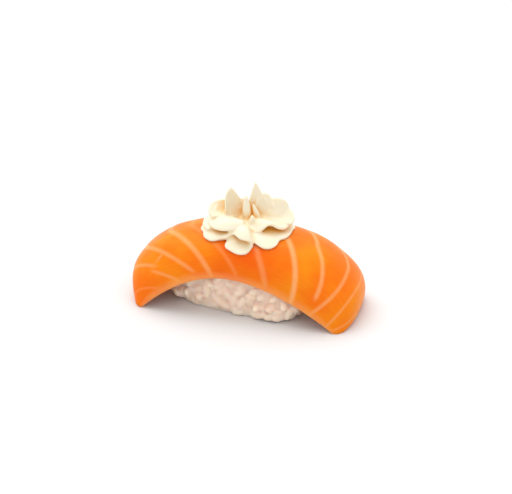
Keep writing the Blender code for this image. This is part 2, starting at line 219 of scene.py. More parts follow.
def cut(piece: bpy.types.Object, cutter_mesh: bpy.types.Mesh) -> None:
    """Takes a closed shape away from the piece for good.

    Args:
        piece: The object that is cut.
        cutter_mesh: The closed shape, which is removed afterwards.
    """
    cutter = new_piece("cutter", cutter_mesh)
    modifier = piece.modifiers.new("cut", "BOOLEAN")
    modifier.operation = "DIFFERENCE"
    modifier.solver = "EXACT"
    modifier.object = cutter
    freeze(piece)
    bpy.data.objects.remove(cutter)
    bpy.data.meshes.remove(cutter_mesh)


def trim_at_floor(shape: bmesh.types.BMesh) -> None:
    """Cuts off what is below the floor and closes the cut.

    Args:
        shape: The bmesh that is trimmed.
    """
    everything = shape.verts[:] + shape.edges[:] + shape.faces[:]
    bmesh.ops.bisect_plane(
        shape, geom=everything, plane_co=(0, 0, 0), plane_no=(0, 0, -1), clear_outer=True
    )
    bmesh.ops.holes_fill(shape, edges=[edge for edge in shape.edges if edge.is_boundary])


def noise_pattern(
    tree: bpy.types.NodeTree, place: bpy.types.NodeSocket, size: float, detail: float
) -> bpy.types.NodeSocket:
    """Adds a soft random pattern of a real size.

    Args:
        tree: The material's node tree.
        place: The coordinates that it lies on, in metres.
        size: How large its patches are, in millimetres.
        detail: How much finer noise is laid over them.

    Returns:
        The socket with its value, 0 to 1.
    """
    inputs = {"Vector": place, "Scale": 1 / (size * MM), "Detail": detail}
    return add_node(tree, "ShaderNodeTexNoise", None, inputs).outputs["Fac"]


def bumps(
    tree: bpy.types.NodeTree, pattern: bpy.types.NodeSocket, strength: float, height: float
) -> bpy.types.NodeSocket:
    """Turns a pattern into fine bumps.

    Args:
        tree: The material's node tree.
        pattern: The pattern's socket.
        strength: How much the bumps show.
        height: Their height in millimetres.

    Returns:
        The socket with the bumped normal.
    """
    inputs = {"Strength": strength, "Distance": height * MM, "Height": pattern}
    return add_node(tree, "ShaderNodeBump", None, inputs).outputs[0]


def unit_block(name: str, cells: tuple[int, int, int]) -> bpy.types.Mesh:
    """A closed block from -1 to 1 each way, divided evenly.

    Args:
        name: The mesh's name.
        cells: How many cells it has along x, y and z.

    Returns:
        Its mesh.
    """
    shape = bmesh.new()
    bmesh.ops.create_cube(shape, size=2.0)
    for axis, count in enumerate(cells):
        edges = [e for e in shape.edges if abs((e.verts[0].co - e.verts[1].co)[axis]) > 1e-6]
        bmesh.ops.subdivide_edges(shape, edges=edges, cuts=count - 1, use_grid_fill=True)
    bmesh.ops.recalc_face_normals(shape, faces=shape.faces[:])
    return mesh_of(shape, name)


def smooth_path(stations: tuple, share: np.ndarray) -> np.ndarray:
    """Follows given stations on a smooth curve through all of them.

    Args:
        stations: Rows of as many values as the path has.
        share: Shares of the way from the first station to the last.

    Returns:
        A row of values for each share.
    """
    rows = np.array(stations, float)
    place = np.clip(share, 0, 1) * (len(rows) - 1)
    start = np.minimum(place.astype(int), len(rows) - 2)
    t = (place - start)[:, None]
    before, here, there = rows[np.maximum(start - 1, 0)], rows[start], rows[start + 1]
    after = rows[np.minimum(start + 2, len(rows) - 1)]
    bend = (2 * before - 5 * here + 4 * there - after) * t**2 + (3 * here - before - 3 * there + after) * t**3
    return here + ((there - before) * t + bend) / 2


def seat(piece: bpy.types.Object, node: Node, material: bpy.types.Material) -> None:
    """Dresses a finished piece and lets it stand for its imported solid.

    Args:
        piece: The finished object.
        node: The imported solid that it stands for.
        material: The finish.
    """
    piece.data.materials.clear()
    piece.data.materials.append(material)
    piece.data.shade_smooth()
    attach(piece, BODY)
    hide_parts(node.value)
    log.info("%s: %d faces", piece.name, len(piece.data.polygons))


# ---------------------------------------------------------------- finishes


@dataclass(frozen=True)
class RawSalmonFinish:
    """Raw salmon, sliced with a wet knife: orange flesh in flakes, parted by pale lines of fat, with painted
    light on its thin front edge and painted shade around the rosette.
    """

    flesh: str = "#ec730c"
    amber: str = "#ec8a10"
    rust: str = "#e05c06"
    # the deeper red of the painted shade around the rosette's foot
    rosette_shade_red: str = "#e24a04"
    fat_and_edge_light: str = "#eeae74"
    flake_size: float = 13.0
    fibre_length: float = 6.0
    fibre_width: float = 0.55
    fleck_size: float = 1.1
    fibre_height: float = 0.05
    roughness: float = 0.34

    def material(self) -> bpy.types.Material:
        """Builds the material."""
        material, shader = blank_material("raw_salmon_flesh")
        tree = material.node_tree
        place = add_node(tree, "ShaderNodeTexCoord").outputs["Object"]
        along_slice = add_node(tree, "ShaderNodeUVMap", {"uv_map": "slice"}).outputs["UV"]
        stretch = (1 / (self.fibre_length * MM), 1 / (self.fibre_width * MM), 1.0)
        drawn = add_node(tree, "ShaderNodeMapping", None, {"Vector": along_slice, "Scale": stretch})
        fibres = add_node(
            tree, "ShaderNodeTexNoise", None, {"Vector": drawn.outputs[0], "Scale": 1.0, "Detail": 3.0}
        ).outputs["Fac"]
        flakes = noise_pattern(tree, place, self.flake_size, 2.0)
        flecks = noise_pattern(tree, place, self.fleck_size, 2.0)
        lightness = add_node(
            tree, "ShaderNodeMapRange", None, {"Value": flakes, "From Min": 0.4, "From Max": 0.65}
        ).outputs[0]
        darkness = add_node(
            tree,
            "ShaderNodeMapRange",
            None,
            {"Value": fibres, "From Min": 0.35, "From Max": 0.75, "To Max": 0.35},
        ).outputs[0]
        flesh = mix_colour(tree, lightness, linear(self.flesh), linear(self.amber))
        flesh = mix_colour(tree, darkness, flesh, linear(self.rust))
        # Painted shade: a deeper red stands for the shade that the rosette casts on the flesh around its
        # foot.
        painted_rosette_shade = add_node(tree, "ShaderNodeAttribute", {"attribute_name": "painted_rosette_shade"}).outputs["Fac"]
        flesh = mix_colour(tree, painted_rosette_shade, flesh, linear(self.rosette_shade_red))
        # Fat shows as soft-edged pale bands, frayed where fibres end against it; the same pale colour is
        # painted light along the thin front edge.
        pale_share = add_node(tree, "ShaderNodeAttribute", {"attribute_name": "fat_and_edge_light"}).outputs["Fac"]
        fray = add_node(
            tree,
            "ShaderNodeMath",
            {"operation": "MULTIPLY_ADD"},
            {0: flecks, 1: 0.5, 2: 0.75},
        ).outputs[0]
        fat_and_edge_light = add_node(
            tree, "ShaderNodeMath", {"operation": "MULTIPLY", "use_clamp": True}, {0: pale_share, 1: fray}
        ).outputs[0]
        colour = mix_colour(tree, fat_and_edge_light, flesh, linear(self.fat_and_edge_light))
        gloss = add_node(
            tree,
            "ShaderNodeMapRange",
            None,
            {"Value": flecks, "To Min": self.roughness - 0.08, "To Max": self.roughness + 0.1},
        ).outputs[0]
        bump = bumps(tree, fibres, 0.35, self.fibre_height)
        tree.links.new(colour, shader.inputs["Base Color"])
        tree.links.new(gloss, shader.inputs["Roughness"])
        tree.links.new(bump, shader.inputs["Normal"])
        shader.inputs["IOR"].default_value = 1.38
        shader.inputs["Specular IOR Level"].default_value = 0.12
        shader.inputs["Subsurface Weight"].default_value = 0.35
        shader.inputs["Subsurface Radius"].default_value = (2.4, 0.8, 0.3)
        shader.inputs["Subsurface Scale"].default_value = MM
        return material


@dataclass(frozen=True)
class CookedRiceFinish:
    """Steamed short-grain rice, pressed by hand: moist and half clear, each grain a little different."""

    cloudy: str = "#eedccc"
    clear: str = "#e4c6ae"
    grain_size: float = 4.0
    skin_size: float = 1.0
    skin_height: float = 0.05
    roughness: float = 0.36

    def material(self) -> bpy.types.Material:
        """Builds the material."""
        material, shader = blank_material("cooked_rice")
        tree = material.node_tree
        place = add_node(tree, "ShaderNodeTexCoord").outputs["Object"]
        tone = noise_pattern(tree, place, self.grain_size, 1.0)
        skin = noise_pattern(tree, place, self.skin_size, 2.0)
        colour = mix_colour(tree, tone, linear(self.clear), linear(self.cloudy))
        bump = bumps(tree, skin, 0.5, self.skin_height)
        tree.links.new(colour, shader.inputs["Base Color"])
        tree.links.new(bump, shader.inputs["Normal"])
        shader.inputs["Roughness"].default_value = self.roughness
        shader.inputs["IOR"].default_value = 1.4
        shader.inputs["Subsurface Weight"].default_value = 0.85
        shader.inputs["Subsurface Radius"].default_value = (4.0, 2.6, 1.8)
        shader.inputs["Subsurface Scale"].default_value = MM
        return material


@dataclass(frozen=True)
class PipedCreamFinish:
    """Stiff savoury cream from a piping bag: satin and ivory, with painted yellow shade down in its folds."""

    ivory: str = "#eae0c6"
    painted_fold_shade: str = "#f0b848"
    fold_reach: float = 4.2
    skin_size: float = 0.7
    skin_height: float = 0.04
    roughness: float = 0.42

    def material(self) -> bpy.types.Material:
        """Builds the material."""
        material, shader = blank_material("piped_cream")
        tree = material.node_tree
        place = add_node(tree, "ShaderNodeTexCoord").outputs["Object"]
        # Painted shade: the cream turns deep yellow where its folds close over it, standing for the shade in
        # them.
        open_sky = add_node(
            tree,
            "ShaderNodeAmbientOcclusion",
            {"samples": 8, "only_local": True},
            {"Distance": self.fold_reach * MM},
        ).outputs["AO"]
        exposed = add_node(
            tree, "ShaderNodeMapRange", None, {"Value": open_sky, "From Min": 0.15, "From Max": 0.85}
        ).outputs[0]
        colour = mix_colour(tree, exposed, linear(self.painted_fold_shade), linear(self.ivory))
        skin = noise_pattern(tree, place, self.skin_size, 2.0)
        bump = bumps(tree, skin, 0.3, self.skin_height)
        tree.links.new(colour, shader.inputs["Base Color"])
        tree.links.new(bump, shader.inputs["Normal"])
        shader.inputs["Roughness"].default_value = self.roughness
        shader.inputs["IOR"].default_value = 1.45
        shader.inputs["Subsurface Weight"].default_value = 0.2
        shader.inputs["Subsurface Radius"].default_value = (1.2, 0.8, 0.4)
        shader.inputs["Subsurface Scale"].default_value = MM
        return material


@dataclass(frozen=True)
class WhiteBoardFinish:
    """Matt white display board, smooth and even."""

    white: str = "#dadada"
    roughness: float = 0.9

    def material(self) -> bpy.types.Material:
        """Builds the material."""
        material, shader = blank_material("matt_white_board")
        shader.inputs["Base Color"].default_value = linear(self.white)
        shader.inputs["Roughness"].default_value = self.roughness
        shader.inputs["Specular IOR Level"].default_value = 0.2
        return material


# ---------------------------------------------------------------- the salmon slice


@dataclass(frozen=True)
class Arch:
    """A line along the slice, from its left foot up over the rice and down to its right foot.

    More fullness squares its shoulders. It meets the floor upright, with each foot drawn back in by
    its tuck, unless it is a hump, which comes down at a slant.
    """

    peak_x: float
    left: float
    right: float
    height: float
    left_fullness: float
    right_fullness: float
    left_tuck: float = 0.0
    right_tuck: float = 0.0
    hump: bool = False

    def sampled(self, overrun: float, tuck_height: float) -> tuple[np.ndarray, np.ndarray, np.ndarray]:
        """Follows the line in small steps.

        Args:
            overrun: How far its ends go below the floor.
            tuck_height: How high up its feet the tuck begins.

        Returns:
            Shares of the line's length, and the x and z that each falls at, in millimetres.
        """
        angle = np.linspace(0.0, math.pi, 1200)
        side, rise = -np.cos(angle), np.sin(angle)
        on_left = side < 0
        power = 2.0 / np.where(on_left, self.left_fullness, self.right_fullness)
        reach = np.where(on_left, self.left, self.right)
        tuck = np.where(on_left, self.left_tuck, -self.right_tuck)
        lift = rise**2 if self.hump else rise**power
        z = self.height * lift - overrun * (1.0 - lift)
        x = self.peak_x + np.sign(side) * reach * np.abs(side) ** power
        x += tuck * np.clip(1.0 - z / tuck_height, 0.0, 1.0) ** 2
        run = np.concatenate([[0.0], np.cumsum(np.hypot(np.diff(x), np.diff(z)))])
        return run / run[-1], x, z


@dataclass(frozen=True)
class FatLine:
    """A pale line of fat across the slice, given by shares of the slice's length from its left end.

    It passes the crest, the front edge and the back edge at those shares, and bows to the right between
    crest and front. It shows from one place across the slice to another, -1 the front edge and 1 the
    back, as wide and as pale as it says.
    """

    crest: float
    front: float
    back: float
    bow: float
    width: float
    paleness: float
    start: float = -1.1
    end: float = 1.1

    def along(self, across: np.ndarray) -> np.ndarray:
        """Where the line runs, as shares of the slice's length, at these places across it."""
        share = np.abs(across)
        side = np.where(across < 0, self.front, self.back)
        bow = np.where(across < 0, self.bow, 0.4 * self.bow)
        return self.crest + (side - self.crest) * share + 4 * bow * share * (1 - share)

    def cover(self, along: np.ndarray, across: np.ndarray, length: np.ndarray, breadth: float) -> np.ndarray:
        """How much of the line lies at each place.

        Args:
            along: Shares of the slice's length.
            across: Places across the slice, -1 to 1.
            length: The slice's length in millimetres at those places.
            breadth: Its breadth from crest to edge in millimetres.

        Returns:
            0 clear of the line, up to its paleness in the middle of it.
        """
        step = 0.02
        slope = (self.along(across + step) - self.along(across - step)) / (2 * step) * length / breadth
        distance = np.abs(along - self.along(across)) * length / np.sqrt(1 + slope**2)
        body = np.clip(1.25 - distance / (self.width / 2), 0.0, 1.0)
        ends = np.clip((across - self.start) / 0.08, 0, 1) * np.clip((self.end - across) / 0.08, 0, 1)
        return self.paleness * body * body * (3 - 2 * body) * ends


FAT_LINES = (
    FatLine(crest=0.956, front=0.95, back=0.93, bow=0.0, width=0.9, paleness=0.4),
    FatLine(crest=0.884, front=0.926, back=0.86, bow=-0.012, width=1.1, paleness=0.42),
    FatLine(crest=0.826, front=0.84, back=0.68, bow=0.007, width=1.5, paleness=0.5),
    FatLine(crest=0.714, front=0.824, back=0.58, bow=0.014, width=1.6, paleness=0.6, start=-0.8),
    FatLine(crest=0.616, front=0.752, back=0.48, bow=0.004, width=1.9, paleness=0.72),
    FatLine(crest=0.52, front=0.642, back=0.4, bow=-0.015, width=2.2, paleness=0.34),
    FatLine(crest=0.33, front=0.52, back=0.24, bow=0.015, width=1.7, paleness=0.22),
    FatLine(crest=0.258, front=0.406, back=0.17, bow=0.022, width=2.2, paleness=0.5),
    FatLine(crest=0.155, front=0.362, back=0.08, bow=0.0, width=1.8, paleness=0.46, start=-0.92),
    FatLine(crest=0.42, front=0.06, back=0.42, bow=0.0, width=1.1, paleness=0.4, start=-0.6, end=-0.44),
    FatLine(crest=0.042, front=0.305, back=0.02, bow=0.0, width=1.5, paleness=0.42, start=-0.66),
    FatLine(crest=0.05, front=0.272, back=0.02, bow=-0.01, width=1.4, paleness=0.42, end=-0.62),
    FatLine(crest=-0.1, front=0.19, back=-0.1, bow=-0.02, width=0.9, paleness=0.24),
)


@dataclass
class SalmonSlice:
    """The slice of raw salmon, draped over the rice with both its ends on the floor."""

    crest_arch: Arch = Arch(0.0, 41.4, 42.3, 28.2, 2.34, 2.4, left_tuck=4.4, right_tuck=3.0)
    front_arch: Arch = Arch(-2.4, 31.6, 38.4, 14.7, 2.0, 1.7, hump=True)
    back_arch: Arch = Arch(4.0, 36.0, 32.0, 18.0, 1.5, 1.6)
    front_reach: float = 15.3
    back_reach: float = 16.5
    side_fullness: float = 2.35
    thickness: float = 4.6
    thin_edge: float = 0.5
    floor_overrun: float = 1.5
    tuck_height: float = 14.0
    edge_round: float = 0.045
    foot_round: float = 0.9
    fat_relief: float = 0.1
    # Painted light along the thin front edge: how pale it turns, and how far out across the slice it begins.
    edge_light: float = 0.5
    edge_light_start: float = 0.88
    sway: float = 0.22
    sway_size: float = 9.0
    # Painted shade of the rosette on the flesh: its middle from the crest, its reach and its strength.
    rosette_shade_place: tuple[float, float] = (1.0, -6.0)
    rosette_shade_reach: float = 9.5
    rosette_shade_depth: float = 0.7
    crest_length: float = 114.0
    edge_length: float = 80.0
    half_breadth: float = 22.0
    cells: tuple[int, int, int] = (250, 104, 8)
    finish: RawSalmonFinish = RawSalmonFinish()

    def __post_init__(self) -> None:
        """Follows the three arches and finds the crest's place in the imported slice's box."""
        arches = (self.crest_arch, self.front_arch, self.back_arch)
        self.lines = [arch.sampled(self.floor_overrun, self.tuck_height) for arch in arches]
        low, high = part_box(Node.SALMON.value)
        above_floor = self.lines[0][2] > 0
        rightmost = self.lines[0][1][above_floor].max()
        self.crest = Vector((high.x / MM - rightmost, low.y / MM + self.front_reach, 0.0))

    def outer_face(self, along: np.ndarray, across: np.ndarray) -> np.ndarray:
        """The slice's smooth outer face.

        Args:
            along: Shares of the slice's length, from the left foot.
            across: Places across it, -1 the front edge and 1 the back.

        Returns:
            Rows of x, y and z in millimetres.
        """
        (crest_x, crest_z), front, back = [
            (np.interp(along, share, x), np.interp(along, share, z)) for share, x, z in self.lines
        ]
        ahead = across < 0
        edge_x, edge_z = np.where(ahead, front[0], back[0]), np.where(ahead, front[1], back[1])
        angle = np.minimum(np.abs(across), 1.0) * math.pi / 2
        fall = 1.0 - np.maximum(np.cos(angle), 0.0) ** (2 / self.side_fullness)
        reach = np.where(ahead, -self.front_reach, self.back_reach)
        y = reach * np.sin(angle) ** (2 / self.side_fullness)
        x = crest_x + (edge_x - crest_x) * fall
        z = crest_z + (edge_z - crest_z) * fall
        return np.stack([x + self.crest.x, y + self.crest.y, z], axis=-1)

    def face_normals(self, along: np.ndarray, across: np.ndarray) -> np.ndarray:
        """Which way the outer face looks at each place, as rows of unit vectors."""
        step = 0.002
        across = np.clip(across, -1 + 2 * step, 1 - 2 * step)
        along = np.clip(along, step, 1 - step)
        lengthwise = self.outer_face(along + step, across) - self.outer_face(along - step, across)
        crosswise = self.outer_face(along, across + step) - self.outer_face(along, across - step)
        normals = np.cross(lengthwise, crosswise)
        return normals / np.linalg.norm(normals, axis=-1, keepdims=True)

    def fat_and_edge_light(self, along: np.ndarray, across: np.ndarray) -> np.ndarray:
        """How much fat lies at each place, with painted light along the thin front edge, 0 to 1."""
        length = self.crest_length + (self.edge_length - self.crest_length) * np.abs(across) ** 1.5
        # Painted light: the front edge turns pale, for light that shows through the thin flesh there.
        rim = self.edge_light * np.clip((-across - self.edge_light_start) / (1 - self.edge_light_start), 0, 1)
        lines = [line.cover(along, across, length, self.half_breadth) for line in FAT_LINES]
        return np.max([rim, *lines], axis=0)

    def block(
        self, name: str, cells: tuple[int, int, int], inward: float, outward: float
    ) -> tuple[bpy.types.Mesh, np.ndarray, np.ndarray, np.ndarray]:
        """A closed block, bent to follow the slice.

        Args:
            name: The mesh's name.
            cells: How many cells it has along, across and through.
            inward: How far it goes in from the outer face, in millimetres.
            outward: How far it stands out of the outer face.

        Returns:
            Its mesh, and the place along, across and through of each vertex.
        """
        mesh = unit_block(name, cells)
        along, across, through = points_of(mesh).T
        along = (along + 1) / 2
        depth = (1 - np.sin(through * math.pi / 2)) / 2
        rounding = 1 - np.sqrt(np.clip(1 - (2 * depth - 1) ** 2, 0, 1))
        across = across * (1 - self.edge_round * rounding)
        self.bend(mesh, along, across, depth, inward, outward)
        return mesh, along, across, depth

    def bend(
        self,
        mesh: bpy.types.Mesh,
        along: np.ndarray,
        across: np.ndarray,
        depth: np.ndarray,
        inward: float,
        outward: float,
    ) -> None:
        """Moves a block's vertices to follow the slice.

        Args:
            mesh: The block's mesh.
            along: Each vertex's share of the slice's length.
            across: Its place across the slice, -1 to 1.
            depth: Its share of the way in, from 0 on the outer face.
            inward: How far the block goes in from the outer face, in millimetres.
            outward: How far it stands out of the outer face.
        """
        face, normals = self.outer_face(along, across), self.face_normals(along, across)
        wall = self.thin_edge + (1 - self.thin_edge) * (1 - np.abs(across) ** 3)
        near_floor = np.clip(1 - face[:, 2] / self.foot_round, 0, 1)
        pinch = 2 * self.foot_round / self.thickness * (1 - np.sqrt(1 - near_floor**2))
        depth = 0.5 + (depth - 0.5) * (1 - pinch)
        offset = wall * (outward - (inward + outward) * depth)
        move_points(mesh, (face + normals * offset[:, None]) * MM)

    def sway_at(self, point: np.ndarray) -> float:
        """How far the soft flesh swells or sinks at a place, in millimetres."""
        return self.sway * noise.noise(Vector(point) / self.sway_size)

    def build(self) -> bpy.types.Object:
        """Builds the slice and dresses it."""
        mesh, along, across, depth = self.block("salmon_slice_flesh", self.cells, self.thickness, 0.0)
        fat_and_edge_light = self.fat_and_edge_light(along, across)
        smooth = points_of(mesh)
        relief = np.array([self.sway_at(point) for point in smooth / MM]) - self.fat_relief * fat_and_edge_light
        outside = np.clip(1 - 2 * depth, 0, 1) * np.clip((1 - np.abs(across)) * 8, 0, 1)
        outside *= np.clip(smooth[:, 2] / (3 * MM), 0, 1)
        normals = self.face_normals(along, across)
        move_points(mesh, smooth + normals * (relief * outside * MM)[:, None])
        # Painted shade: the flesh is reddened around the rosette's foot, where its shade falls.
        around = np.linalg.norm(smooth[:, :2] / MM - np.array(self.crest)[:2] - self.rosette_shade_place, axis=-1)
        painted_rosette_shade = self.rosette_shade_depth * np.clip(1.6 - around / self.rosette_shade_reach, 0, 1)
        for name, values in (("fat_and_edge_light", fat_and_edge_light), ("painted_rosette_shade", painted_rosette_shade)):
            layer = mesh.attributes.new(name, "FLOAT", "POINT")
            layer.data.foreach_set("value", values.astype(np.float32))
        corners = np.empty(len(mesh.loops), np.int32)
        mesh.loops.foreach_get("vertex_index", corners)
        flat = np.stack([along * self.crest_length, across * self.half_breadth], axis=-1)[corners] * MM
        mesh.uv_layers.new(name="slice").data.foreach_set("uv", flat.astype(np.float32).ravel())
        shape = bmesh.new()
        shape.from_mesh(mesh)
        bpy.data.meshes.remove(mesh)
        trim_at_floor(shape)
        piece = new_piece("salmon_slice_flesh", mesh_of(shape, "salmon_slice_flesh"))
        seat(piece, Node.SALMON, self.finish.material())
        return piece


# ---------------------------------------------------------------- the rice


@dataclass
class RiceMound:
    """The hand-pressed rice: a loaf with a knobbly skin, and whole grains lying in it all round."""

    salmon: SalmonSlice
    half: Vector = Vector((25.2, 12.5, 13.6))
    offset: Vector = Vector((-0.9, 0.2, 9.0))
    plan_fullness: float = 4.0
    wall_fullness: float = 4.0
    turn: float = -8.0
    end_undercut: float = 0.10
    undercut_height: float = 5.0
    core_inset: float = 1.1
    core_swell: float = 0.5
    core_swell_size: float = 2.6
    core_gap: float = 0.6
    grain_length: float = 6.6
    grain_width: float = 3.3
    grain_inset: float = 1.2
    spacing: float = 2.45
    clearance: float = 1.6
    stickiness: float = 0.34
    tries: int = 6000
    seed: int = 11
    finish: CookedRiceFinish = CookedRiceFinish()

    def __post_init__(self) -> None:
        """Sets the loaf's middle and starts the draw of grains."""
        self.centre = self.salmon.crest + self.offset
        self.draw = random.Random(self.seed)

    def loaf_point(self, direction: Vector, inset: float) -> Vector:
        """Where a ray from the loaf's middle leaves it, in millimetres.

        Args:
            direction: Which way the ray goes, before the loaf's turn.
            inset: How much smaller than the whole the loaf is taken all round.

        Returns:
            The place on the turned loaf.
        """
        half = self.half - Vector((inset, inset, inset))
        along, across, up = [abs(part / size) for part, size in zip(direction, half)]
        plan = (along**self.plan_fullness + across**self.plan_fullness) ** (
            self.wall_fullness / self.plan_fullness
        )
        point = direction / (plan + up**self.wall_fullness) ** (1 / self.wall_fullness)
        near_floor = max(1.0 - (point.z + self.centre.z) / self.undercut_height, 0.0)
        point.x *= 1.0 - self.end_undercut * min(near_floor, 1.0) ** 2
        return self.centre + Matrix.Rotation(math.radians(self.turn), 3, "Z") @ point

    def core(self) -> bpy.types.Object:
        """The loaf under the grains, cut to the slice above it."""
        shape = bmesh.new()
        bmesh.ops.create_uvsphere(shape, u_segments=96, v_segments=64, radius=1.0)
        for vertex in shape.verts:
            direction = Vector((vertex.co.z, vertex.co.x, vertex.co.y))
            place = self.loaf_point(direction, self.core_inset)
            swell = noise.noise(place / self.core_swell_size) * self.core_swell
            vertex.co = (place + direction * swell) * MM
        trim_at_floor(shape)
        bmesh.ops.recalc_face_normals(shape, faces=shape.faces[:])
        core = new_piece("rice_core", mesh_of(shape, "rice_core"))
        void = self.salmon.block("void", (60, 30, 1), self.salmon.thickness + self.core_gap, 0.0)[0]
        cut(core, void)
        return core

    def add_grain(self, shape: bmesh.types.BMesh, place: Vector, heading: Vector, up: Vector) -> None:
        """Adds one grain to the bmesh, plump, slightly bent and a little nicked at one end.

        Args:
            shape: The bmesh that takes it.
            place: The grain's middle in millimetres.
            heading: The way that it points.
            up: The way that its flatter side faces.
        """
        made = bmesh.ops.create_uvsphere(shape, u_segments=8, v_segments=7, radius=0.5)["verts"]
        length = self.grain_length * self.draw.uniform(0.84, 1.1)
        width = self.grain_width * self.draw.uniform(0.88, 1.12)
        thickness = width * self.draw.uniform(0.78, 0.95)
        bow = self.draw.uniform(0.2, 0.7)
        side = up.cross(heading).normalized()
        turned = Matrix((heading, side, up)).transposed()
        for vertex in made:
            lengthwise = 2 * vertex.co.z
            girth = (1 - abs(lengthwise) ** 2.6) ** 0.5 / max(math.sqrt(1 - lengthwise**2), 0.2)
            girth = max(min(girth, 1.25), 0.0) * (1 - 0.1 * lengthwise)
            local = Vector(
                (
                    lengthwise * length / 2,
                    vertex.co.x * width * girth,
                    vertex.co.y * thickness * girth - bow * lengthwise**2,
                )
            )
            vertex.co = (place + turned @ local) * MM

    def grain_places(self) -> list[tuple[Vector, Vector, Vector]]:
        """Draws where the grains lie.

        Returns:
            For each grain its middle, its heading and the way out of the loaf there.
        """
        crowd: list[tuple[Vector, Vector, Vector]] = []
        for _ in range(self.tries):
            direction = Vector([self.draw.gauss(0, 1) * size for size in self.half]).normalized()
            inset = self.grain_inset + self.draw.uniform(-0.35, 1.0)
            middle = self.loaf_point(direction, inset)
            outward = (middle - self.loaf_point(direction, inset + 1.0)).normalized()
            heading = Vector([self.draw.uniform(-1, 1) for _ in range(3)])
            heading -= heading.project(outward) * self.draw.uniform(0.55, 1.0)
            heading.normalize()
            up = (outward - outward.project(heading)).normalized()
            if all((middle - other[0]).length > self.spacing for other in crowd):
                if self.is_clear(middle, heading):
                    crowd.append((middle, heading, up))
        return crowd

    def is_clear(self, middle: Vector, heading: Vector) -> bool:
        """Whether a grain there stays above the floor and off the slice."""
        half = self.grain_length * 0.36
        radius = self.grain_width / 2
        for point in (middle - heading * half, middle, middle + heading * half):
            if point.z < radius * 0.6:
                return False
            nearest, normal, _, distance = self.slice_tree.find_nearest(point * MM)
            if distance < self.clearance * MM or (point * MM - nearest).dot(normal) < 0:
                return False
            if point.z > self.ceiling(point):
                return False
        return True

    def ceiling(self, point: Vector) -> float:
        """The height of the slice's under face over a place, in millimetres, or 0 clear of it."""
        start = Vector((point.x * MM, point.y * MM, 0.1))
        found = self.slice_tree.ray_cast(start, Vector((0, 0, -1)))[0]
        return found.z / MM if found is not None else self.half.z

    def build(self) -> bpy.types.Object:
        """Builds the rice, core and grains as one piece, and dresses it."""
        under = bmesh.new()
        under.from_mesh(self.salmon.block("probe", (120, 50, 2), self.salmon.thickness, 0.0)[0])
        self.slice_tree = BVHTree.FromBMesh(under)
        under.free()
        core = self.core()
        shape = bmesh.new()
        shape.from_mesh(core.data)
        bpy.data.objects.remove(core)
        places = self.grain_places()
        for middle, heading, up in places:
            self.add_grain(shape, middle, heading, up)
        for vertex in shape.verts:
            vertex.co.z = max(vertex.co.z, 0.0)
        log.info("rice holds %d grains", len(places))
        piece = new_piece("rice_grains", mesh_of(shape, "rice_grains"))
        stick = piece.modifiers.new("stick together", "REMESH")
        stick.mode = "VOXEL"
        stick.voxel_size = self.stickiness * MM
        swell = piece.modifiers.new("swell", "SMOOTH")
        swell.factor = 0.5
        swell.iterations = 3
        freeze(piece)
        points = points_of(piece.data)
        points[:, 2] = np.maximum(points[:, 2], 0.0)
        move_points(piece.data, points)
        seat(piece, Node.RICE, self.finish.material())
        return piece


# ---------------------------------------------------------------- the cream rosette


@dataclass(frozen=True)
class Petal:
    """One lobe of piped cream, a flattened tongue that bends along its length.

    Azimuth and root place its foot about the rosette's axis, in degrees and millimetres, and height
    lifts it above the slice's crest. It leans, in degrees from upright at its foot and at its tip, the
    way its azimuth and turn face together. Cup lifts its side edges towards its inner face, and drops
    them below 0. Sweep carries its tip sideways, and point 1 draws it to a tip.
    """

    azimuth: float
    root: float
    height: float
    length: float
    width: float
    thickness: float
    lean: tuple[float, float]
    cup: float
    point: float = 0.0
    turn: float = 0.0
    sweep: float = 0.0

    def midline(self, share: float) -> tuple[float, float]:
        """How far out and up the midline has gone at a share of its length, of a length of 1."""
        steps = 12
        out = up = 0.0
        for step in range(steps):
            angle = math.radians(self.lean[0] + (self.lean[1] - self.lean[0]) * share * (step + 0.5) / steps)
            out += math.sin(angle) * share / steps
            up += math.cos(angle) * share / steps
        return out, up

    def outline(self, share: float) -> float:
        """The half width at a share of the length, against its greatest: round or drawn to a point."""
        foot = 0.6 + 0.4 * math.sin(min(share / 0.5, 1.0) * math.pi / 2)
        round_end = math.sqrt(max(1 - share**3.4, 0.0))
        pointed_end = max(1 - share, 0.0) ** 1.2 * (1 + 1.3 * share)
        return foot * ((1 - self.point) * round_end + self.point * pointed_end)

    def add_to(self, shape: bmesh.types.BMesh, centre: Vector) -> None:
        """Adds the petal as a ball flattened and bent along its midline.

        Args:
            shape: The bmesh that takes it.
            centre: The rosette's middle on the crest, in millimetres.
        """
        made = bmesh.ops.create_uvsphere(shape, u_segments=32, v_segments=26, radius=1.0)["verts"]
        azimuth = math.radians(self.azimuth)
        facing = math.radians(self.azimuth + self.turn)
        outward = Vector((math.cos(facing), math.sin(facing), 0.0))
        sideways = Vector((-math.sin(facing), math.cos(facing), 0.0))
        foot = Vector((self.root * math.cos(azimuth), self.root * math.sin(azimuth), self.height))
        for vertex in made:
            share = (vertex.co.z + 1) / 2
            ring = math.hypot(vertex.co.x, vertex.co.y)
            across = vertex.co.x / ring if ring > 1e-6 else 0.0
            through = vertex.co.y / ring if ring > 1e-6 else 0.0
            end = min(ring / 0.5, 1.0)
            lean = math.radians(self.lean[0] + (self.lean[1] - self.lean[0]) * share)
            inward = Vector((0, 0, 1)) * math.sin(lean) - outward * math.cos(lean)
            out, up = self.midline(share)
            edge = self.outline(share) * across
            place = foot + outward * out * self.length + Vector((0, 0, up * self.length))
            place += sideways * (self.width / 2 * edge * end + self.sweep * share**1.5)
            place += inward * (self.thickness * (1 - 0.4 * share) / 2 * through * end)
            place += inward * (self.cup * abs(edge) ** 2.6 * min(share * 2, 1.0))
            vertex.co = (centre + place) * MM


